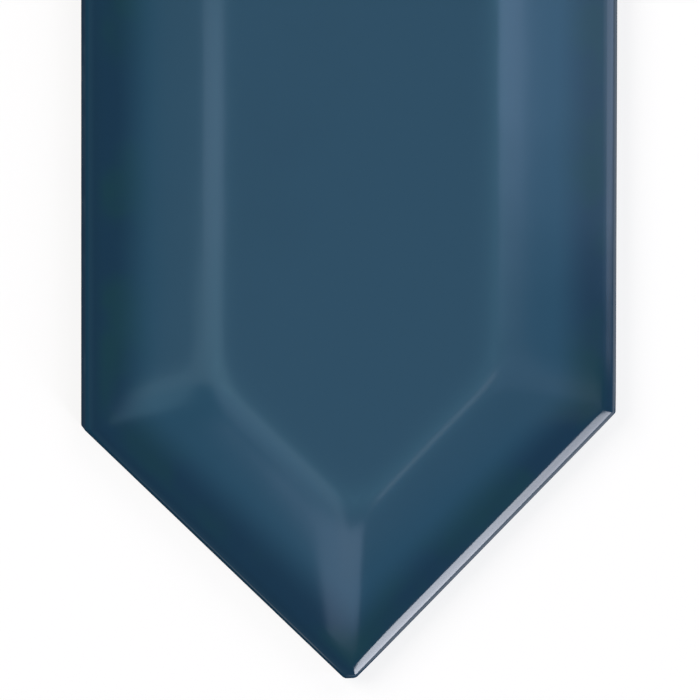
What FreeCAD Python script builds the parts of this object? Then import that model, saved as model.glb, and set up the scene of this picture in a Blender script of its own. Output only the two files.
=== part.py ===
import FreeCAD, Part
import math
import os

# Bevelled picket wall tile: an elongated hexagon of pressed and glazed earthenware, fired as one piece.
# It lies on its back. X runs across the tile, Y along it from point to point, and +Z is up, out of the
# glazed face. The origin is the middle of the back. Sizes are in millimetres and angles in degrees.

# Outline, seen from above
tile_width = 100.0
tile_length = 300.0
point_half_angle = 45.0
point_radius = 2.2
shoulder_radius = 2.1

# Section through the glazed face
rim_height = 6.5
table_height = 10.0
bevel_width = 23.5
crease_radius = 40.0
rim_radius = 2.0

# Keyed back, which the adhesive grips
back_chamfer = 0.5
key_depth = 0.8
key_margin = 6.0
key_pitch = 11.5
key_rib_width = 2.4
key_draft_angle = 30.0
key_smallest_share = 0.3

# Values worked out from the sizes above
half_width = tile_width / 2
half_angle = math.radians(point_half_angle)
half_length_sharp = tile_length / 2 + point_radius * (1 / math.sin(half_angle) - 1)
bevel_slope = (table_height - rim_height) / bevel_width
key_draft_slope = 1 / math.tan(math.radians(key_draft_angle))
key_draft = key_depth / key_draft_slope

# Helper solids reach this far past the tile before they are trimmed, and lengths under tiny are zero
overhang = 10.0
tiny = 1e-4


def hexagon(inset, height):
    """Corners of the sharp outline, moved in by inset, at one height, anticlockwise from the +Y point."""
    x = half_width - inset
    tip_y = half_length_sharp - inset / math.sin(half_angle)
    shoulder_y = tip_y - x / math.tan(half_angle)
    plan = [(0, tip_y), (-x, shoulder_y), (-x, -shoulder_y), (0, -tip_y), (x, -shoulder_y), (x, shoulder_y)]
    return [FreeCAD.Vector(px, py, height) for px, py in plan]


def flat_face(corners):
    """Plane face through a closed loop of corners."""
    return Part.Face(Part.makePolygon(corners + corners[:1]))


def prism(inset, bottom, top):
    """Upright block of the sharp outline, moved in by inset."""
    return flat_face(hexagon(inset, bottom)).extrude(FreeCAD.Vector(0, 0, top - bottom))


def bevelled(solid, inset, height, slope):
    """Cuts a plane bevel along each side of the outline: it starts at inset and height, and rises inwards."""
    corners = hexagon(inset, height)
    wastes = []
    for start, end in zip(corners, corners[1:] + corners[:1]):
        along = (end - start).normalize()
        upslope = FreeCAD.Vector(-along.y, along.x, slope)
        low_start = start - along * tile_length - upslope * 2 * overhang
        low_end = end + along * tile_length - upslope * 2 * overhang
        rise = upslope * tile_length
        plane = flat_face([low_start, low_end, low_end + rise, low_start + rise])
        wastes.append(plane.extrude(FreeCAD.Vector(0, 0, 2 * tile_length)))
    return solid.cut(wastes)


def is_upright(edge):
    """True for a straight edge that runs along Z."""
    run = edge.Vertexes[-1].Point - edge.Vertexes[0].Point
    return abs(run.z) > tiny and math.hypot(run.x, run.y) < tiny


def blank():
    """Upright block of the outline, with rounded corners and a chamfer round the back."""
    block = prism(0, 0, table_height + overhang)
    points = [e for e in block.Edges if is_upright(e) and abs(e.Vertexes[0].X) < tiny]
    block = block.makeFillet(point_radius, points)
    at_side = half_width - tiny
    shoulders = [e for e in block.Edges if is_upright(e) and abs(e.Vertexes[0].X) > at_side]
    block = block.makeFillet(shoulder_radius, shoulders)
    return block.makeChamfer(back_chamfer, [e for e in block.Edges if e.BoundBox.ZMax < tiny])


def roof():
    """Oversize roof of the glazed face: a flat table, plane bevels and softly rounded creases."""
    block = bevelled(prism(-overhang, -overhang, table_height), 0, rim_height, bevel_slope)
    creases = [e for e in block.Edges if max(v.Z for v in e.Vertexes) > table_height - tiny]
    return block.makeFillet(crease_radius, creases)


def round_rim(tile, wall):
    """Rolls the glazed face over into the upright wall, all the way round."""
    rim = []
    for edge in tile.Edges:
        middle = edge.valueAt((edge.FirstParameter + edge.LastParameter) / 2)
        if middle.z > rim_height / 2 and not is_upright(edge):
            if wall.distToShape(Part.Vertex(middle))[0] < tiny:
                rim.append(edge)
    return tile.makeFillet(rim_radius, rim)


def rib(centre, along_y):
    """Drafted rib of the keyed back, along or across the tile, deeper than the recess that it crosses."""
    foot = key_rib_width / 2
    top = foot + key_draft
    profile = [(-foot, -overhang), (-foot, 0), (-top, key_depth), (-top, overhang)]
    profile += [(-u, z) for u, z in reversed(profile)]
    if along_y:
        corners = [FreeCAD.Vector(centre + u, -tile_length, z) for u, z in profile]
        return flat_face(corners).extrude(FreeCAD.Vector(0, 2 * tile_length, 0))
    corners = [FreeCAD.Vector(-tile_width, centre + u, z) for u, z in profile]
    return flat_face(corners).extrude(FreeCAD.Vector(2 * tile_width, 0, 0))


def key_pockets():
    """What the press leaves out of the back: a drafted hexagon, crossed by ribs both ways into pockets.

    Pockets that the diagonal sides cut down to a sliver are left solid.
    """
    field = bevelled(prism(key_margin, -overhang, key_depth), key_margin, 0, key_draft_slope)
    columns = int((half_width - key_margin) / key_pitch)
    rows = int((half_length_sharp - key_margin) / key_pitch)
    ribs = [rib(step * key_pitch, True) for step in range(-columns, columns + 1)]
    ribs += [rib(step * key_pitch, False) for step in range(-rows, rows + 1)]
    pockets = field.cut(ribs).Solids
    whole = max(pocket.Volume for pocket in pockets)
    return [pocket for pocket in pockets if pocket.Volume > key_smallest_share * whole]


def wall_tile():
    """The whole tile."""
    block = blank()
    wall = Part.makeShell([f for f in block.Faces if abs(f.normalAt(0, 0).z) < tiny])
    tile = round_rim(roof().common(block), wall)
    return tile.cut(key_pockets())


os.makedirs("parts", exist_ok=True)
tile = wall_tile()
tile.exportStep("parts/wall_tile.step")
print("wall_tile", tile.isValid(), len(tile.Solids), round(tile.Volume), "mm3", len(tile.Faces), "faces")
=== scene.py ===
import logging
import math
from dataclasses import dataclass, field
from enum import Enum
from functools import partial

import bmesh
import bpy
import numpy as np
from mathutils import Matrix, Vector


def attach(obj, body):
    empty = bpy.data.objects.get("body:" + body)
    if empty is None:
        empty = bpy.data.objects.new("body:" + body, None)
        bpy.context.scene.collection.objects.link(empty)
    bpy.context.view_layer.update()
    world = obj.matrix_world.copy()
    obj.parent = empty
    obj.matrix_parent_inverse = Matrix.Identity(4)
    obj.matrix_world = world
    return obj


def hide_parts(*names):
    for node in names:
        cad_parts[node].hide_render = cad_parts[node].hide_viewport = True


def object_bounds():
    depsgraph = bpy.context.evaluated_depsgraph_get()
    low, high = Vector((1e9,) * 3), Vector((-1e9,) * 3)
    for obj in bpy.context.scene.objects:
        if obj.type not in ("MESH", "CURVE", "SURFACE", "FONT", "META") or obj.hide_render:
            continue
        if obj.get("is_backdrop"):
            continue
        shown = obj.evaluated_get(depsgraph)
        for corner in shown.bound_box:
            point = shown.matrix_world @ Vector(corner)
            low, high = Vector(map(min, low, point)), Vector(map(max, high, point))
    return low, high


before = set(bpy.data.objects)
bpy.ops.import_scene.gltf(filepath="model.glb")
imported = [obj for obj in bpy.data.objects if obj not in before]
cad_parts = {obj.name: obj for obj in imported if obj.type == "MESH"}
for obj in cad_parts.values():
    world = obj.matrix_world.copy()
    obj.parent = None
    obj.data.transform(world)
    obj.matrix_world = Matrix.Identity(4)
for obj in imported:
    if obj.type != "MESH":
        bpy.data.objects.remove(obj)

# One glazed picket tile, lying on its back. X runs across it, Y from point to point, and +Z out of its
# face. Lengths are in metres, or in millimetres where the name ends in _mm.

LOG = logging.getLogger("wall_tile")
MM = 0.001
NODE = "wall_tile"
WHITE = (1.0, 1.0, 1.0, 1.0)

# Kinds, settings and sockets of nodes that come up again and again
MATHS = "ShaderNodeMath"
NOISE = "ShaderNodeTexNoise"
RANGE = "ShaderNodeMapRange"
MIX = "ShaderNodeMix"
SMOOTH = {"interpolation_type": "SMOOTHSTEP"}
RGBA = {"data_type": "RGBA"}
NUMBER = "NodeSocketFloat"
MATERIAL = "NodeSocketMaterial"

# Directions of a lamp's sides: +X is east, +Y is north, and a tipped side leans 25 degrees over the tile
EAST = (1, 0, 0)
NORTH = (0, 1, 0)
UP = (0, 0, 1)
NORTH_EAST = (1, 1, 0)
NORTH_WEST = (-1, 1, 0)
TIPPED = (-0.4226, 0, 0.9063)


def linear(hex_colour: str) -> tuple[float, float, float, float]:
    """Turns an sRGB hex colour into the linear colour that a shader takes, by the sRGB standard's curve.

    Args:
        hex_colour: The colour as six hex digits, such as "324f66".

    Returns:
        Linear red, green and blue, with an alpha of 1.
    """
    channels = [int(hex_colour[i:i + 2], 16) / 255 for i in (0, 2, 4)]
    values = [c / 12.92 if c <= 0.04045 else ((c + 0.055) / 1.055) ** 2.4 for c in channels]
    return (values[0], values[1], values[2], 1.0)


def add_node(tree: bpy.types.NodeTree, kind: str, settings: dict | str | None = None,
             inputs: dict | tuple | None = None) -> bpy.types.Node:
    """Adds a node with its settings, values and links.

    Args:
        tree: The tree that takes the node.
        kind: The node's type, such as "ShaderNodeMath".
        settings: Properties of the node by name, or only its operation.
        inputs: Values, sockets or nodes for its inputs, by name or number, or in order. A node gives
            its first output.

    Returns:
        The new node.
    """
    node = tree.nodes.new(kind)
    if isinstance(settings, str):
        settings = {"operation": settings}
    if isinstance(inputs, tuple):
        inputs = dict(enumerate(inputs))
    for name, value in (settings or {}).items():
        setattr(node, name, value)
    for name, value in (inputs or {}).items():
        source = value.outputs[0] if isinstance(value, bpy.types.Node) else value
        if isinstance(source, bpy.types.NodeSocket):
            tree.links.new(source, node.inputs[name])
        else:
            node.inputs[name].default_value = source
    return node


def new_tree(name: str,
             sockets: dict[str, tuple[str, object]]) -> tuple[bpy.types.NodeTree, bpy.types.Node]:
    """Starts a Geometry Nodes tree with a geometry going in and out and named inputs.

    Args:
        name: The tree's name.
        sockets: Each input's name, with its socket type and its default.

    Returns:
        The tree and its Group Input node.
    """
    tree = bpy.data.node_groups.new(name, "GeometryNodeTree")
    tree.interface.new_socket("Geometry", in_out="INPUT", socket_type="NodeSocketGeometry")
    tree.interface.new_socket("Geometry", in_out="OUTPUT", socket_type="NodeSocketGeometry")
    for label, (socket_type, default) in sockets.items():
        socket = tree.interface.new_socket(label, in_out="INPUT", socket_type=socket_type)
        if default is not None:
            socket.default_value = default
    return tree, tree.nodes.new("NodeGroupInput")


def apply_trees(piece: bpy.types.Object, trees: list[tuple[bpy.types.NodeTree, dict]]) -> None:
    """Runs Geometry Nodes trees on a piece in order and keeps the result as its plain mesh.

    Args:
        piece: The object whose mesh goes through the trees.
        trees: Each tree with the values of its named inputs.
    """
    for tree, values in trees:
        modifier = piece.modifiers.new(tree.name, "NODES")
        modifier.node_group = tree
        for item in tree.interface.items_tree:
            if item.in_out == "INPUT" and item.name in values:
                modifier[item.identifier] = values[item.name]
    depsgraph = bpy.context.evaluated_depsgraph_get()
    result = bpy.data.meshes.new_from_object(piece.evaluated_get(depsgraph), depsgraph=depsgraph)
    piece.modifiers.clear()
    piece.data = result


class Zone(Enum):
    """Material slots of the tile, by number."""

    GLAZE = 0
    SIDE = 1
    BISCUIT = 2


@dataclass(frozen=True)
class Biscuit:
    """Pressed earthenware biscuit: the pale, dry and slightly sandy body of a wall tile."""

    colour: str = "d9c9b4"
    speck_colour: str = "b79f84"
    roughness: float = 0.92
    grain_mm: float = 0.9
    grain_relief_mm: float = 0.08
    grain_strength: float = 0.35
    speck_mm: float = 2.4
    speck_edges: tuple[float, float] = (0.5, 0.75)

    def colour_nodes(self, tree: bpy.types.NodeTree, place: bpy.types.NodeSocket) -> bpy.types.NodeSocket:
        """Mixes the body's colour with its darker specks.

        Args:
            tree: The material's tree.
            place: Object coordinates.

        Returns:
            The colour socket.
        """
        add = partial(add_node, tree)
        specks = add(NOISE, {}, {"Vector": place, "Scale": 1 / (self.speck_mm * MM), "Detail": 4.0,
                                 "Roughness": 0.7})
        amount = add(RANGE, SMOOTH, {"Value": specks.outputs["Fac"], "From Min": self.speck_edges[0],
                                     "From Max": self.speck_edges[1]})
        mix = add(MIX, RGBA, {0: amount, 6: linear(self.colour), 7: linear(self.speck_colour)})
        return mix.outputs[2]

    def material(self) -> bpy.types.Material:
        """Builds the material: a matt body whose fine grain shows as a light bump.

        Returns:
            The material for the back and the foot of the sides.
        """
        # Clay dust pressed dry and fired once gives a chalky surface with no shine. Its grit is nearer
        # 0.2 mm, and it is drawn coarse enough to show.
        made = bpy.data.materials.new("earthenware biscuit")
        made.use_nodes = True
        tree = made.node_tree
        add = partial(add_node, tree)
        shader = tree.nodes["Principled BSDF"]
        place = add("ShaderNodeTexCoord").outputs["Object"]
        grain = add(NOISE, {}, {"Vector": place, "Scale": 1 / (self.grain_mm * MM), "Detail": 5.0})
        bump = add("ShaderNodeBump", {}, {"Height": grain.outputs["Fac"], "Strength": self.grain_strength,
                                          "Distance": self.grain_relief_mm * MM})
        tree.links.new(self.colour_nodes(tree, place), shader.inputs["Base Color"])
        tree.links.new(bump.outputs[0], shader.inputs["Normal"])
        shader.inputs["Roughness"].default_value = self.roughness
        return made


@dataclass(frozen=True)
class Glaze:
    """Glossy petrol-blue glaze, fired on: darker along the rim, partly where it pools and partly as painted
    shade, and paler over the creases and round the rim, partly where it thins and partly as a painted
    highlight.
    """

    # The first two colours stand for glaze pooled along the rim and carry painted shade there too; the last
    # stands for glaze thinned on the creases and the rim and carries a painted highlight there too
    pooled_shade: str = "14344b"
    pooled_shade_teal: str = "153a47"
    body: str = "234960"
    thin_and_highlight: str = "2d546a"
    roughness: float = 0.1
    dry_roughness: float = 0.4
    specular: float = 0.5
    ior: float = 1.52
    # Insets over which the darker band along the rim, partly painted shade, gives way to the body colour
    pool_and_shade_mm: tuple[float, float] = (4.6, 13.2)
    dry_mm: tuple[float, float] = (5.52, 5.69)
    dry_lean: float = 0.005
    # Insets over which the paler edge of the rim, partly a painted highlight, fades out
    rim_mm: tuple[float, float] = (0.5, 1.8)
    rim_thinning_and_highlight: float = 0.25
    mottle_mm: float = 26.0
    mottle_swing: float = 0.34
    drift_mm: float = 19.0
    drift_seed: float = 3.0
    drift_edges: tuple[float, float] = (0.4, 0.6)
    drift_from_mm: tuple[float, float] = (1.0, 4.0)
    peel_mm: float = 1.6
    peel_relief_mm: float = 0.02
    peel_strength: float = 0.1

    def material(self) -> bpy.types.Material:
        """Builds the material of the glazed face.

        Returns:
            The material.
        """
        # A fired glaze gives a glassy skin: it mirrors the lamps softly through its faint orange peel,
        # and its colour deepens with its thickness. Its darker rim band also carries painted shade, and its
        # paler creases and rim a painted highlight.
        made = bpy.data.materials.new("glazed earthenware")
        made.use_nodes = True
        tree = made.node_tree
        add = partial(add_node, tree)
        shader = tree.nodes["Principled BSDF"]
        place = add("ShaderNodeTexCoord").outputs["Object"]
        inset, crease = (add("ShaderNodeAttribute", {"attribute_name": name}).outputs["Fac"]
                         for name in ("inset", "crease"))

        # It is darker towards the rim, unevenly: partly pooled glaze, partly painted shade. There it drifts
        # between blue and teal
        mottle = add(NOISE, {}, {"Vector": place, "Scale": 1 / (self.mottle_mm * MM), "Detail": 3.0})
        past_pool_and_shade = add(RANGE, SMOOTH, {"Value": inset, "From Min": self.pool_and_shade_mm[0] * MM,
                                        "From Max": self.pool_and_shade_mm[1] * MM})
        swing = self.mottle_swing
        uneven = add(MATHS, "MULTIPLY_ADD", (mottle.outputs["Fac"], swing, -swing / 2))
        shallow_and_unshaded = add(MATHS, {"operation": "ADD", "use_clamp": True}, (past_pool_and_shade, uneven))
        drift = add(NOISE, {"noise_dimensions": "4D"}, {"Vector": place, "W": self.drift_seed,
                                                        "Scale": 1 / (self.drift_mm * MM), "Detail": 3.0})
        teal = add(RANGE, SMOOTH, {"Value": drift.outputs["Fac"], "From Min": self.drift_edges[0],
                                   "From Max": self.drift_edges[1]})
        off_rim = add(RANGE, SMOOTH, {"Value": inset, "From Min": self.drift_from_mm[0] * MM,
                                      "From Max": self.drift_from_mm[1] * MM})
        settled_and_shaded = add(MIX, RGBA, {0: add(MATHS, "MULTIPLY", (teal, off_rim)),
                                  6: linear(self.pooled_shade), 7: linear(self.pooled_shade_teal)})
        pool_and_shade = add(MIX, RGBA, {0: shallow_and_unshaded, 6: settled_and_shaded.outputs[2], 7: linear(self.body)})

        # It is paler over the creases and round the rim: partly thinner glaze, partly a painted highlight
        on_crease = add(MATHS, "MULTIPLY", (crease, shallow_and_unshaded))
        on_rim = add(RANGE, SMOOTH, {"Value": inset, "From Min": self.rim_mm[0] * MM,
                                     "From Max": self.rim_mm[1] * MM,
                                     "To Min": self.rim_thinning_and_highlight, "To Max": 0.0})
        thinning_and_highlight = add(MATHS, "MAXIMUM", (on_crease, on_rim))
        colour = add(MIX, RGBA, {0: thinning_and_highlight, 6: pool_and_shade.outputs[2], 7: linear(self.thin_and_highlight)})

        # Its gloss starts on the roll of the rim, a little lower on the right, above the dry sides
        spot = add("ShaderNodeSeparateXYZ", {}, (place,))
        height = add(MATHS, "MULTIPLY_ADD", (spot.outputs[0], self.dry_lean, spot.outputs[2]))
        band = {"Value": height, "From Min": self.dry_mm[0] * MM, "From Max": self.dry_mm[1] * MM}
        gloss = add(RANGE, SMOOTH, {**band, "To Min": self.dry_roughness, "To Max": self.roughness})
        shine = add(RANGE, SMOOTH, {**band, "To Min": 0.0, "To Max": self.specular})
        peel = add(NOISE, {}, {"Vector": place, "Scale": 1 / (self.peel_mm * MM)})
        bump = add("ShaderNodeBump", {}, {"Height": peel.outputs["Fac"], "Strength": self.peel_strength,
                                          "Distance": self.peel_relief_mm * MM})
        tree.links.new(colour.outputs[2], shader.inputs["Base Color"])
        tree.links.new(gloss.outputs[0], shader.inputs["Roughness"])
        tree.links.new(shine.outputs[0], shader.inputs["Specular IOR Level"])
        tree.links.new(bump.outputs[0], shader.inputs["Normal"])
        shader.inputs["IOR"].default_value = self.ior
        return made


@dataclass(frozen=True)
class SideGlaze:
    """The glaze that ran onto the sides: thin, dry and nearly matt, ending in an uneven line at the foot."""

    colour: str = "284057"
    worn: str = "2e485e"
    worn_edges: tuple[float, float] = (0.45, 0.7)
    roughness: float = 0.6
    specular: float = 0.0
    foot_mm: float = 0.6
    ragged_mm: float = 0.3
    fade_mm: float = 0.1
    wave_mm: float = 6.0

    def material(self, biscuit: Biscuit) -> bpy.types.Material:
        """Builds the material of the upright sides.

        Args:
            biscuit: The body, which shows below the glaze line.

        Returns:
            The material.
        """
        # Where the spray hardly reaches, the glaze fires to a dry skin: even in colour, with no mirror
        # image in it.
        made = bpy.data.materials.new("dry earthenware glaze")
        made.use_nodes = True
        tree = made.node_tree
        add = partial(add_node, tree)
        shader = tree.nodes["Principled BSDF"]
        place = add("ShaderNodeTexCoord").outputs["Object"]
        height = add("ShaderNodeSeparateXYZ", {}, (place,)).outputs[2]
        wave = add(NOISE, {}, {"Vector": place, "Scale": 1 / (self.wave_mm * MM), "Detail": 4.0})
        line = add(MATHS, "MULTIPLY_ADD", (wave.outputs["Fac"], -2 * self.ragged_mm * MM, height))
        foot = self.foot_mm - self.ragged_mm
        glazed = add(RANGE, {}, {"Value": line, "From Min": (foot - self.fade_mm) * MM,
                                 "From Max": (foot + self.fade_mm) * MM})
        patch = add(RANGE, SMOOTH, {"Value": wave.outputs["Fac"], "From Min": self.worn_edges[0],
                                    "From Max": self.worn_edges[1]})
        coat = add(MIX, RGBA, {0: patch, 6: linear(self.colour), 7: linear(self.worn)})
        cover = add(MIX, RGBA, {0: glazed, 6: biscuit.colour_nodes(tree, place), 7: coat.outputs[2]})
        gloss = add(RANGE, {}, {"Value": glazed, "To Min": biscuit.roughness, "To Max": self.roughness})
        tree.links.new(cover.outputs[2], shader.inputs["Base Color"])
        tree.links.new(gloss.outputs[0], shader.inputs["Roughness"])
        shader.inputs["Specular IOR Level"].default_value = self.specular
        return made


@dataclass(frozen=True)
class Paper:
    """Seamless studio paper: matt, and lifted to white wherever the eye or the glaze sees it.

    Its grey under the lamps and its lift come to white together.
    """

    colour: str = "7c7b7b"
    lift: float = 0.8

    def material(self) -> bpy.types.Material:
        """Builds the material of the floor.

        Returns:
            The material.
        """
        # Background paper gives an even white that still takes the tile's soft shadow
        made = bpy.data.materials.new("matt paper")
        made.use_nodes = True
        tree = made.node_tree
        add = partial(add_node, tree)
        shader = tree.nodes["Principled BSDF"]
        shader.inputs["Base Color"].default_value = linear(self.colour)
        shader.inputs["Roughness"].default_value = 1.0
        shader.inputs["Specular IOR Level"].default_value = 0.0
        ray = add("ShaderNodeLightPath").outputs
        mirrored = add(MATHS, "MAXIMUM", (ray["Is Glossy Ray"], ray["Is Transmission Ray"]))
        viewed = add(MATHS, "MAXIMUM", (ray["Is Camera Ray"], mirrored))
        lift = add(MATHS, "MULTIPLY", (viewed, self.lift))
        shader.inputs["Emission Color"].default_value = WHITE
        tree.links.new(lift.outputs[0], shader.inputs["Emission Strength"])
        return made


@dataclass
class Picket:
    """Plan of a picket tile: an elongated hexagon with a right-angled, blunted point at each end."""

    half_width: float
    half_length: float
    point_angle: float = math.radians(45)
    nose_width: float = 2.2 * MM
    nose_radius: float = 1.3 * MM
    shoulder_radius: float = 0.7 * MM
    side_steps: int = 140
    point_side_steps: int = 52
    nose_steps: int = 4
    corner_steps: int = 6
    gathering: float = 0.88

    @property
    def sharp_length(self) -> float:
        """Half the length to the corner that the blunt point is cut from."""
        return self.half_length + self.nose_width / 2 / math.tan(self.point_angle)

    @property
    def shoulder_length(self) -> float:
        """Half the length of the straight sides, from shoulder to shoulder."""
        return self.sharp_length - self.half_width / math.tan(self.point_angle)

    def gathered(self, share: float) -> float:
        """Moves a share of a side's length towards its nearer end, where the rim turns the corner."""
        return share - self.gathering * math.sin(math.tau * share) / math.tau

    def corners(self, inset: float) -> list[Vector]:
        """Corners of the outline moved in by inset, anticlockwise from the right end of the +Y nose.

        Args:
            inset: Distance in from the outline.

        Returns:
            The eight corners: two at each point, where the nose is cut flat, and four shoulders.
        """
        x = self.half_width - inset
        slant = math.sin(self.point_angle)
        tip = self.sharp_length - inset / slant
        shoulder = tip - x / math.tan(self.point_angle)
        cut = max(self.sharp_length - self.half_length - inset * (1 / slant - 1), 0.0)
        nose = min(cut * math.tan(self.point_angle), x)
        return [Vector(p) for p in ((nose, tip - cut), (-nose, tip - cut), (-x, shoulder), (-x, -shoulder),
                                    (-nose, cut - tip), (nose, cut - tip), (x, -shoulder), (x, shoulder))]

    def ring(self, inset: float, spread: float) -> list[Vector]:
        """Samples the outline moved in by inset, with rounded corners.

        Args:
            inset: Distance in from the outline.
            spread: Radius added to every corner.

        Returns:
            As many points for every inset, anticlockwise.
        """
        corners, outline = self.corners(inset), self.corners(0.0)
        count = len(corners)
        at_nose = (0, 1, 4, 5)
        arcs = []
        for i, corner in enumerate(corners):
            radius = max((self.nose_radius if i in at_nose else self.shoulder_radius) - inset, 0.0) + spread
            before = (outline[i] - outline[i - 1]).normalized()
            after = (outline[(i + 1) % count] - outline[i]).normalized()
            turn = before.angle(after)
            if i in at_nose:
                along_nose = (corners[1] - corners[0]).length / 2
                radius = min(radius, along_nose / math.tan(turn / 2))
            reach = radius * math.tan(turn / 2)
            centre = corner - before * reach + Vector((-before.y, before.x)) * radius
            first = math.atan2(-before.x, before.y)
            arcs.append([centre + Vector((math.cos(angle), math.sin(angle))) * radius
                         for angle in (first + turn * k / self.corner_steps
                                       for k in range(self.corner_steps + 1))])
        steps = (self.nose_steps, self.point_side_steps, self.side_steps, self.point_side_steps)
        points = []
        for i, arc in enumerate(arcs):
            points += arc
            start, end = arc[-1], arcs[(i + 1) % count][0]
            here = steps[i % len(steps)]
            points += [start.lerp(end, self.gathered(k / here)) for k in range(1, here)]
        return points


@dataclass
class TileBody:
    """The pressed and glazed tile: flat table, plane bevels, rounded creases and rim, and a keyed back.

    A pocket of the keyed back is left out where its middle would lie past the slanting sides of the
    field by more than key_overhang, a share of the pocket's width. Points of the mesh nearer than weld
    become one, and edges shorter than sliver go. The grid of pockets is even both ways, so that ribs
    run along both axes.
    """

    plan: Picket
    table_height: float
    rim_height: float = 6.5 * MM
    bevel_width: float = 23.5 * MM
    crease_radius: float = 30.0 * MM
    crease_falloff: float = 3.0
    point_blend: float = 12.0 * MM
    shoulder_blend: float = 7.5 * MM
    rim_width: float = 3.2 * MM
    rim_drop: float = 1.85 * MM
    bevel_swell: float = 0.25
    back_chamfer: float = 0.5 * MM
    relief: float = 0.045 * MM
    relief_wave: float = 18.0 * MM
    rim_rings: int = 14
    bevel_step: float = 1.3 * MM
    table_step: float = 2.4 * MM
    wall_rings: int = 6
    dry_rings: int = 2
    key_depth: float = 0.8 * MM
    key_margin: float = 6.0 * MM
    key_pitch: float = 11.5 * MM
    key_rib: float = 2.4 * MM
    key_draft: float = math.radians(30)
    key_columns: int = 8
    key_rows: int = 26
    key_overhang: float = 0.16
    key_field_reach: float = 2.0 * MM
    crease_reach: float = 6.0 * MM
    corner_spread: float = 0.22
    weld: float = 0.01 * MM
    sliver: float = 0.0001 * MM

    def insets(self) -> list[float]:
        """Insets of the rings from the rim to the long axis, close together where the face curves.

        Returns:
            Rising insets, the first of them 0 and the last the half width.
        """
        turns = [math.pi / 2 * k / self.rim_rings for k in range(self.rim_rings)]
        rings = [self.rim_width * (1 - math.cos(turn)) for turn in turns]
        inner = self.plan.half_width
        edge = self.bevel_width + self.crease_reach
        rings += list(np.linspace(self.rim_width, edge, round((edge - self.rim_width) / self.bevel_step)))
        rings += list(np.linspace(edge, inner, round((inner - edge) / self.table_step)))[1:]
        return rings

    def spread(self, inset: float) -> float:
        """Radius added to a ring's corners: none over the rolled rim, then more, and none at the middle."""
        return self.corner_spread * max(inset - self.rim_width, 0.0) * (1 - inset / self.plan.half_width)

    def flat_mesh(self) -> bpy.types.Mesh:
        """Builds the closed body with its glazed face still flat.

        Each vertex holds its inset, and how far it is lifted towards the glazed face: 1 on the face,
        less down the sides and 0 from the chamfer on.

        Returns:
            The mesh, with attributes inset and lift.
        """
        insets = self.insets()
        levels = [(inset, 0.0, 1.0) for inset in reversed(insets)]
        levels += [(0.0, self.back_chamfer, 1 - k / self.wall_rings) for k in range(1, self.wall_rings + 1)]
        levels.append((self.back_chamfer, 0.0, 0.0))
        body = bmesh.new()
        inset_layer = body.verts.layers.float.new("inset")
        lift_layer = body.verts.layers.float.new("lift")
        rings = []
        for inset, height, lift in levels:
            ring = []
            for point in self.plan.ring(inset, self.spread(inset)):
                vertex = body.verts.new((point.x, point.y, height))
                vertex[inset_layer] = inset
                vertex[lift_layer] = lift
                ring.append(vertex)
            rings.append(ring)
        count = len(rings[0])
        side_start = len(insets) - 1 - self.dry_rings
        for level in range(len(rings) - 1):
            zone = Zone.GLAZE if level < side_start else Zone.SIDE
            for i in range(count):
                j = (i + 1) % count
                quad = (rings[level][i], rings[level + 1][i], rings[level + 1][j], rings[level][j])
                face = body.faces.new(quad)
                face.smooth = level < len(rings) - 2
                face.material_index = zone.value if face.smooth else Zone.BISCUIT.value
        back = body.faces.new(list(reversed(rings[-1])))
        back.material_index = Zone.BISCUIT.value
        for ring in rings[-2:]:
            for i in range(count):
                body.edges.get((ring[i], ring[(i + 1) % count])).smooth = False
        bmesh.ops.remove_doubles(body, verts=rings[0], dist=self.weld)
        bmesh.ops.dissolve_degenerate(body, edges=body.edges[:], dist=self.sliver)
        mesh = bpy.data.meshes.new("tile_body")
        body.to_mesh(mesh)
        body.free()
        return mesh

    def plan_sizes(self) -> dict[str, float]:
        """Sizes of the outline, as both trees take them."""
        return {"Half Width": self.plan.half_width, "Half Length": self.plan.sharp_length,
                "Point Angle": self.plan.point_angle}

    def crown_sizes(self) -> dict[str, float]:
        """Sizes that the crown's tree takes, by the names of its inputs."""
        return {**self.plan_sizes(), "Rim Height": self.rim_height, "Table Height": self.table_height,
                "Bevel Width": self.bevel_width, "Bevel Swell": self.bevel_swell,
                "Crease Radius": self.crease_radius, "Crease Falloff": self.crease_falloff,
                "Point Blend": self.point_blend, "Shoulder Blend": self.shoulder_blend,
                "Rim Width": self.rim_width, "Rim Drop": self.rim_drop,
                "Relief Height": self.relief, "Relief Wave": self.relief_wave}

    def key_sizes(self) -> dict[str, float]:
        """Sizes that the keyed back's tree takes, by the names of its inputs."""
        return {**self.plan_sizes(), "Pitch": self.key_pitch, "Rib Width": self.key_rib,
                "Depth": self.key_depth, "Draft": self.key_draft, "Margin": self.key_margin,
                "Overhang": self.key_overhang}

    def crown_tree(self) -> bpy.types.NodeTree:
        """Builds the tree that raises the glazed face.

        The face is the smooth minimum of a level table and six sloping planes, one for each side of the
        outline. Its rim then drops along a quarter of an ellipse to meet the upright side.

        Returns:
            The tree, which also stores how near each point is to a crease.
        """
        sockets = {name: (NUMBER, value) for name, value in self.crown_sizes().items()}
        tree, given = new_tree("bevelled crown", {**sockets, "Finish": (MATERIAL, None)})
        size = given.outputs
        add = partial(add_node, tree)
        place = add("GeometryNodeInputPosition").outputs[0]
        x, y, z = add("ShaderNodeSeparateXYZ", {}, (place,)).outputs
        inset, lift = (add("GeometryNodeInputNamedAttribute", {"data_type": "FLOAT"}, {"Name": name})
                       for name in ("inset", "lift"))

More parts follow.
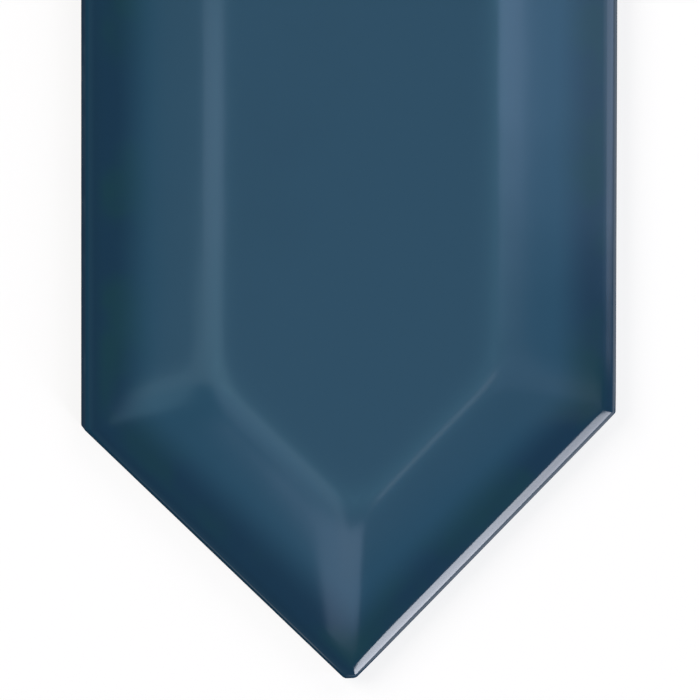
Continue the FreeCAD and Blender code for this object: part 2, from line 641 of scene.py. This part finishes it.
        # Distance in from each side of the outline
        to_right = add(MATHS, "SUBTRACT", (size["Half Width"], x))
        to_left = add(MATHS, "ADD", (size["Half Width"], x))
        from_point = add(MATHS, "SUBTRACT", (size["Half Length"], add(MATHS, "ABSOLUTE", (y,))))
        along = add(MATHS, "MULTIPLY", (from_point, add(MATHS, "SINE", (size["Point Angle"],))))
        across = add(MATHS, "MULTIPLY", (x, add(MATHS, "COSINE", (size["Point Angle"],))))
        to_point_right = add(MATHS, "SUBTRACT", (along, across))
        to_point_left = add(MATHS, "ADD", (along, across))

        # Bevels, a little crowned, that melt into each other and into the table
        fall = add(MATHS, "SUBTRACT", (size["Table Height"], size["Rim Height"]))
        slope = add(MATHS, "DIVIDE", (fall, size["Bevel Width"]))
        table_blend = add(MATHS, "MULTIPLY", (size["Crease Radius"], add(MATHS, "MULTIPLY", (slope, slope))))
        side = add(MATHS, "MINIMUM", (to_right, to_left))
        point = add(MATHS, "SMOOTH_MIN", (to_point_right, to_point_left, size["Point Blend"]))
        bevel = add(MATHS, "SMOOTH_MIN", (side, point, size["Shoulder Blend"]))
        outward = add(MATHS, "SUBTRACT", (1.0, add(MATHS, "DIVIDE", (bevel, size["Bevel Width"]))))
        swell = add(MATHS, "MULTIPLY_ADD", (size["Bevel Swell"], outward, 1.0))
        swollen = add(MATHS, "MULTIPLY", (bevel, swell))
        rise = add(MATHS, "MULTIPLY_ADD", (swollen, slope, size["Rim Height"]))
        face = add(MATHS, "SMOOTH_MIN", (rise, size["Table Height"], table_blend))

        # How much the crease rounds off what sharp planes would make
        from_table = add(MATHS, "ABSOLUTE", (add(MATHS, "SUBTRACT", (rise, size["Table Height"])),))
        nearness = add(MATHS, "SUBTRACT", (1.0, add(MATHS, "DIVIDE", (from_table, table_blend))))
        crease = add(MATHS, "POWER", (add(MATHS, "MAXIMUM", (nearness, 0.0)), size["Crease Falloff"]))

        # Roll of the rim, and the slow ripple of the glaze
        inward = add(MATHS, "DIVIDE", (inset, size["Rim Width"]))
        outer = add(MATHS, "MAXIMUM", (add(MATHS, "SUBTRACT", (1.0, inward)), 0.0))
        square = add(MATHS, "SUBTRACT", (1.0, add(MATHS, "MULTIPLY", (outer, outer))))
        ellipse = add(MATHS, "SQRT", (add(MATHS, "MAXIMUM", (square, 0.0)),))
        drop = add(MATHS, "MULTIPLY", (size["Rim Drop"], add(MATHS, "SUBTRACT", (1.0, ellipse))))
        scale = add(MATHS, "DIVIDE", (1.0, size["Relief Wave"]))
        wave = add(NOISE, {"noise_dimensions": "3D"}, {"Vector": place, "Scale": scale, "Detail": 1.0})
        below = add(MATHS, "SUBTRACT", (wave.outputs["Fac"], 1.0))
        ripple = add(MATHS, "MULTIPLY", (below, size["Relief Height"]))
        top = add(MATHS, "ADD", (add(MATHS, "SUBTRACT", (face, drop)), ripple))
        raised = add(MATHS, "MULTIPLY_ADD", (add(MATHS, "SUBTRACT", (top, z)), lift, z))

        keep = add("GeometryNodeStoreNamedAttribute", {"data_type": "FLOAT", "domain": "POINT"},
                   {"Geometry": size["Geometry"], "Name": "crease", "Value": crease})
        moved = add("GeometryNodeSetPosition", {},
                    {"Geometry": keep, "Position": add("ShaderNodeCombineXYZ", {}, (x, y, raised))})
        self.finish_tree(tree, moved, size["Finish"])
        return tree

    def finish_tree(self, tree: bpy.types.NodeTree, last: bpy.types.Node,
                    finish: bpy.types.NodeSocket) -> None:
        """Ends a tree: its geometry is made real, and its glazed faces take their finish.

        Args:
            tree: The tree.
            last: The node that gives what the tree has made so far.
            finish: Material of the glazed faces.
        """
        add = partial(add_node, tree)
        whole = add("GeometryNodeRealizeInstances", {}, (last,))
        slot = add("GeometryNodeInputMaterialIndex")
        glazed = add("FunctionNodeCompare", {"data_type": "INT", "operation": "EQUAL"},
                     {2: slot, 3: Zone.GLAZE.value})
        dressed = add("GeometryNodeSetMaterial", {},
                      {"Geometry": whole, "Selection": glazed, "Material": finish})
        add("NodeGroupOutput", {}, {"Geometry": dressed})

    def key_field(self) -> bpy.types.Object:
        """Builds the drafted hexagon that bounds the pockets of the keyed back.

        Returns:
            A helper object, removed once the pockets are cut.
        """
        taper = math.tan(self.key_draft)
        solid = bmesh.new()
        loops = []
        for height in (-self.key_field_reach, self.key_field_reach):
            corners = self.plan.corners(self.key_margin + height * taper)
            apart = [c for i, c in enumerate(corners) if (c - corners[i - 1]).length > self.weld]
            loops.append([solid.verts.new((c.x, c.y, height)) for c in apart])
        low, high = loops
        count = len(low)
        solid.faces.new(list(reversed(low)))
        solid.faces.new(high)
        for i in range(count):
            j = (i + 1) % count
            solid.faces.new((low[i], low[j], high[j], high[i]))
        mesh = bpy.data.meshes.new("key_field")
        solid.to_mesh(mesh)
        solid.free()
        helper = bpy.data.objects.new("key_field", mesh)
        bpy.context.collection.objects.link(helper)
        return helper

    def key_tree(self) -> bpy.types.NodeTree:
        """Builds the tree that presses the pockets of the keyed back.

        A grid of points carries one drafted pocket each. The pockets are trimmed to the field and cut
        out of the back.

        Returns:
            The tree.
        """
        sockets = {name: (NUMBER, value) for name, value in self.key_sizes().items()}
        tree, given = new_tree("keyed back", {**sockets, "Field": ("NodeSocketObject", None),
                                              "Biscuit": (MATERIAL, None), "Finish": (MATERIAL, None)})
        size = given.outputs
        add = partial(add_node, tree)
        columns, rows = self.key_columns, self.key_rows
        grid = add("GeometryNodeMeshGrid", {}, {
            "Size X": add(MATHS, "MULTIPLY", (size["Pitch"], columns - 1.0)), "Vertices X": columns,
            "Size Y": add(MATHS, "MULTIPLY", (size["Pitch"], rows - 1.0)), "Vertices Y": rows})

        # Points whose pocket keeps enough of itself inside the field's slanting sides
        place = add("GeometryNodeInputPosition").outputs[0]
        x, y, _ = add("ShaderNodeSeparateXYZ", {}, (place,)).outputs
        cosine = add(MATHS, "COSINE", (size["Point Angle"],))
        across = add(MATHS, "MULTIPLY", (add(MATHS, "ABSOLUTE", (x,)), cosine))
        room = add(MATHS, "SUBTRACT", (size["Half Length"], add(MATHS, "ABSOLUTE", (y,))))
        along = add(MATHS, "MULTIPLY", (room, add(MATHS, "SINE", (size["Point Angle"],))))
        clear = add(MATHS, "SUBTRACT", (along, across))
        opening = add(MATHS, "SUBTRACT", (size["Pitch"], size["Rib Width"]))
        outward = add(MATHS, "MULTIPLY", (size["Overhang"], -1.0))
        least = add(MATHS, "MULTIPLY_ADD", (opening, outward, size["Margin"]))
        inside = add("FunctionNodeCompare", {"data_type": "FLOAT", "operation": "GREATER_THAN"},
                     {0: clear, 1: least})

        # One pocket: a square frustum, twice as deep as the key and centred on the back
        taper = add(MATHS, "MULTIPLY", (add(MATHS, "TANGENT", (size["Draft"],)), size["Depth"]))
        half_mouth = add(MATHS, "MULTIPLY", (opening, 0.5))
        floor_half = add(MATHS, "SUBTRACT", (half_mouth, taper))
        outer_half = add(MATHS, "ADD", (half_mouth, taper))
        pocket = add("GeometryNodeMeshCone", {"fill_type": "NGON"}, {
            "Vertices": 4, "Depth": add(MATHS, "MULTIPLY", (size["Depth"], 2.0)),
            "Radius Top": add(MATHS, "MULTIPLY", (floor_half, math.sqrt(2))),
            "Radius Bottom": add(MATHS, "MULTIPLY", (outer_half, math.sqrt(2)))})
        below = add("ShaderNodeCombineXYZ", {}, {2: add(MATHS, "MULTIPLY", (size["Depth"], -1.0))})
        square = add("GeometryNodeTransform", {}, {
            "Geometry": pocket.outputs["Mesh"], "Translation": below, "Rotation": (0.0, 0.0, math.pi / 4)})
        placed = add("GeometryNodeInstanceOnPoints", {}, {
            "Points": grid.outputs["Mesh"], "Selection": inside, "Instance": square})
        pockets = add("GeometryNodeRealizeInstances", {}, (placed,))

        # The pockets are trimmed to the field and cut out of the back
        field_mesh = add("GeometryNodeObjectInfo", {}, {"Object": size["Field"]})
        trimmed = add("GeometryNodeMeshBoolean", {"operation": "INTERSECT", "solver": "EXACT"})
        tree.links.new(pockets.outputs[0], trimmed.inputs[1])
        tree.links.new(field_mesh.outputs["Geometry"], trimmed.inputs[1])
        clay = add("GeometryNodeSetMaterial", {}, {"Geometry": trimmed, "Material": size["Biscuit"]})
        cut = add("GeometryNodeMeshBoolean", {"operation": "DIFFERENCE", "solver": "EXACT"},
                  {"Mesh 1": size["Geometry"]})
        tree.links.new(clay.outputs[0], cut.inputs[1])
        self.finish_tree(tree, cut, size["Finish"])
        return tree

    def build(self, glaze: Glaze, side: SideGlaze, biscuit: Biscuit) -> bpy.types.Object:
        """Builds and dresses the whole tile.

        Args:
            glaze: Finish of the face.
            side: Finish of the sides.
            biscuit: Finish of the back and the foot.

        Returns:
            The tile as one closed mesh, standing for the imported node.
        """
        mesh = self.flat_mesh()
        biscuit_material = biscuit.material()
        glaze_material = glaze.material()
        for material in (glaze_material, side.material(biscuit), biscuit_material):
            mesh.materials.append(material)
        tile = bpy.data.objects.new("glazed_wall_tile", mesh)
        bpy.context.collection.objects.link(tile)
        helper = self.key_field()
        crown = {**self.crown_sizes(), "Finish": glaze_material}
        key = {**self.key_sizes(), "Field": helper, "Finish": glaze_material, "Biscuit": biscuit_material}
        apply_trees(tile, [(self.crown_tree(), crown), (self.key_tree(), key)])
        bpy.data.objects.remove(helper)
        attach(tile, "root")
        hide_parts(NODE)
        return tile


@dataclass(frozen=True)
class Softbox:
    """A rectangular soft studio lamp, placed by its middle and by the directions of its two sides."""

    name: str
    middle: tuple[float, float, float]
    across: tuple[float, float, float]
    upward: tuple[float, float, float]
    width: float
    height: float
    radiance: float
    colour: str = "ffffff"

    def light(self) -> bpy.types.Object:
        """Sets the lamp up. Its bright face looks against the cross product of across and upward.

        Its power in watts follows from its radiance and its area.

        Returns:
            The lamp.
        """
        across = Vector(self.across).normalized()
        back = across.cross(Vector(self.upward)).normalized()
        upward = back.cross(across)
        lamp = bpy.data.lights.new(self.name, "AREA")
        lamp.shape = "RECTANGLE"
        lamp.size, lamp.size_y = self.width, self.height
        lamp.energy = self.radiance * math.pi * self.width * self.height
        lamp.color = linear(self.colour)[:3]
        stand = bpy.data.objects.new(self.name, lamp)
        turn = Matrix((across, upward, back)).transposed()
        stand.matrix_world = Matrix.Translation(self.middle) @ turn.to_4x4()
        bpy.context.collection.objects.link(stand)
        return stand


@dataclass(frozen=True)
class PhotoCamera:
    """The photograph's view: a long lens, nearly overhead, leaning a little off the vertical."""

    lens_mm: float = 1600.0
    sensor_mm: float = 36.0
    picture_px: float = 700.0
    px_per_mm: float = 5.38
    tilt: float = math.radians(15.2)
    lean: float = math.radians(232.2)
    roll: float = math.radians(-0.89)
    shoulder_px: tuple[float, float] = (346.45, 416.2)
    clip: tuple[float, float] = (0.05, 60.0)

    def place(self, shoulder: Vector) -> bpy.types.Object:
        """Sets the camera up so that the near shoulder line falls where the photograph has it.

        Args:
            shoulder: Middle of the line between the two near shoulders, on the back of the tile.

        Returns:
            The camera.
        """
        flat = math.sin(self.tilt)
        toward = Vector((flat * math.cos(self.lean), -flat * math.sin(self.lean), math.cos(self.tilt)))
        swing = Vector((0, 0, 1)).rotation_difference(toward)
        right = swing @ Vector((math.cos(self.roll), math.sin(self.roll), 0))
        up = swing @ Vector((-math.sin(self.roll), math.cos(self.roll), 0))
        px, py = self.shoulder_px
        middle = self.picture_px / 2
        pixel = MM / self.px_per_mm
        aim = shoulder + right * ((middle - px) * pixel) + up * ((py - middle) * pixel)
        distance = self.picture_px * pixel / self.sensor_mm * self.lens_mm
        data = bpy.data.cameras.new("photo_camera")
        data.lens, data.sensor_width = self.lens_mm, self.sensor_mm
        data.clip_start, data.clip_end = self.clip
        camera = bpy.data.objects.new("photo_camera", data)
        turn = Matrix((right, up, toward)).transposed()
        camera.matrix_world = Matrix.Translation(aim + toward * distance) @ turn.to_4x4()
        bpy.context.collection.objects.link(camera)
        bpy.context.scene.camera = camera
        return camera


@dataclass
class Studio:
    """Pale floor, dim room and soft lamps."""

    floor_size: float = 14.0
    paper: Paper = Paper()
    world_strength: float = 0.1
    # Each lamp has a name, its middle, the directions of its width and height, those two sizes, its
    # radiance and its colour. They are fitted to the reflections that the glaze shows.
    lamps: list[Softbox] = field(default_factory=lambda: [
        Softbox("overhead_window", (0.02, -0.284, 1.2), EAST, NORTH, 0.16, 0.068, 1.12, "c8dcff"),
        Softbox("overhead_low", (-0.0075, -0.379, 1.2), EAST, NORTH, 0.215, 0.122, 0.66, "c4eeff"),
        Softbox("overhead_pane", (0.065, -0.515, 1.2), EAST, NORTH, 0.15, 0.15, 0.84, "c8e0ff"),
        Softbox("hip_pane", (0.125, -0.66, 1.2), EAST, NORTH, 0.33, 0.14, 1.55, "c8dcff"),
        Softbox("hip_left", (-0.155, -0.46, 1.2), EAST, NORTH, 0.12, 0.15, 0.86, "b8eaff"),
        Softbox("hip_right", (0.575, -0.46, 1.2), EAST, NORTH, 0.29, 0.15, 0.4, "b8d8ff"),
        Softbox("ceiling_bounce", (0.2, -0.325, 1.25), EAST, NORTH, 0.8, 0.25, 0.21),
        Softbox("ceiling_bounce_low", (0.46, -0.57, 1.25), EAST, NORTH, 0.76, 0.24, 0.16, "fff0e0"),
        Softbox("side_window", (0.84, -0.16, 0.7), NORTH, (-0.92, 0, 1), 0.28, 1.36, 1.36, "aed2ff"),
        Softbox("ridge_pane", (0.4875, -0.155, 1.2), EAST, NORTH, 0.175, 0.35, 1.15, "bcd4ff"),
        Softbox("side_glow", (1.272, -0.233, 0.704), NORTH, TIPPED, 0.266, 1.4, 0.58, "e8f0ff"),
        Softbox("side_glow_low", (1.341, -0.239, 0.507), NORTH, TIPPED, 0.278, 0.985, 1.1, "dce8ff"),
        Softbox("slit", (0.3625, -0.4775, 1.2), NORTH_EAST, NORTH_WEST, 0.135, 0.025, 1.8, "e8eeff"),
        Softbox("low_strip", (0.6795, -0.8655, 0.505), NORTH_EAST, UP, 0.337, 0.93, 6.9, "eff1fa"),
        Softbox("low_strip_near", (0.6223, -0.9051, 0.505), NORTH_EAST, UP, 0.2, 0.93, 3.7, "eff1fa"),
        Softbox("key_left", (-1.0, 0.55, 1.1), (-0.55, -1, 0), (1, -0.55, 1.2), 0.8, 0.8, 10.5, "fffaf4"),
        Softbox("key_right", (0.5, 1.1, 1.1), (-1.1, 0.5, 0), (-0.5, -1.1, 1.2), 0.8, 0.8, 2.9, "fffaf4"),
    ])

    def floor(self) -> bpy.types.Object:
        """Lays the floor: pale, and white to the eye where no shadow falls.

        Returns:
            The floor.
        """
        half = self.floor_size / 2
        mesh = bpy.data.meshes.new("studio_floor")
        corners = [(-half, -half, 0), (half, -half, 0), (half, half, 0), (-half, half, 0)]
        mesh.from_pydata(corners, [], [(0, 1, 2, 3)])
        mesh.materials.append(self.paper.material())
        floor = bpy.data.objects.new("studio_floor", mesh)
        bpy.context.collection.objects.link(floor)
        floor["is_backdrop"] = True
        return floor

    def world(self) -> None:
        """Fills the room with a low, even light."""
        world = bpy.data.worlds.new("studio_room")
        world.use_nodes = True
        background = world.node_tree.nodes["Background"]
        background.inputs["Color"].default_value = WHITE
        background.inputs["Strength"].default_value = self.world_strength
        bpy.context.scene.world = world

    def build(self) -> None:
        """Sets up the floor, the room and the lamps."""
        self.floor()
        self.world()
        for lamp in self.lamps:
            lamp.light()


def main() -> None:
    """Builds the tile and the studio in order."""
    logging.basicConfig(level=logging.INFO, format="%(name)s: %(message)s")
    low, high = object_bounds()
    plan = Picket(half_width=(high.x - low.x) / 2, half_length=(high.y - low.y) / 2)
    PhotoCamera().place(Vector((0, -plan.shoulder_length, 0)))
    tile = TileBody(plan, table_height=high.z).build(Glaze(), SideGlaze(), Biscuit())
    LOG.info("%s: %d faces", tile.name, len(tile.data.polygons))
    Studio().build()
    bpy.context.scene.view_settings.view_transform = "Standard"


if __name__ == "__main__":
    main()
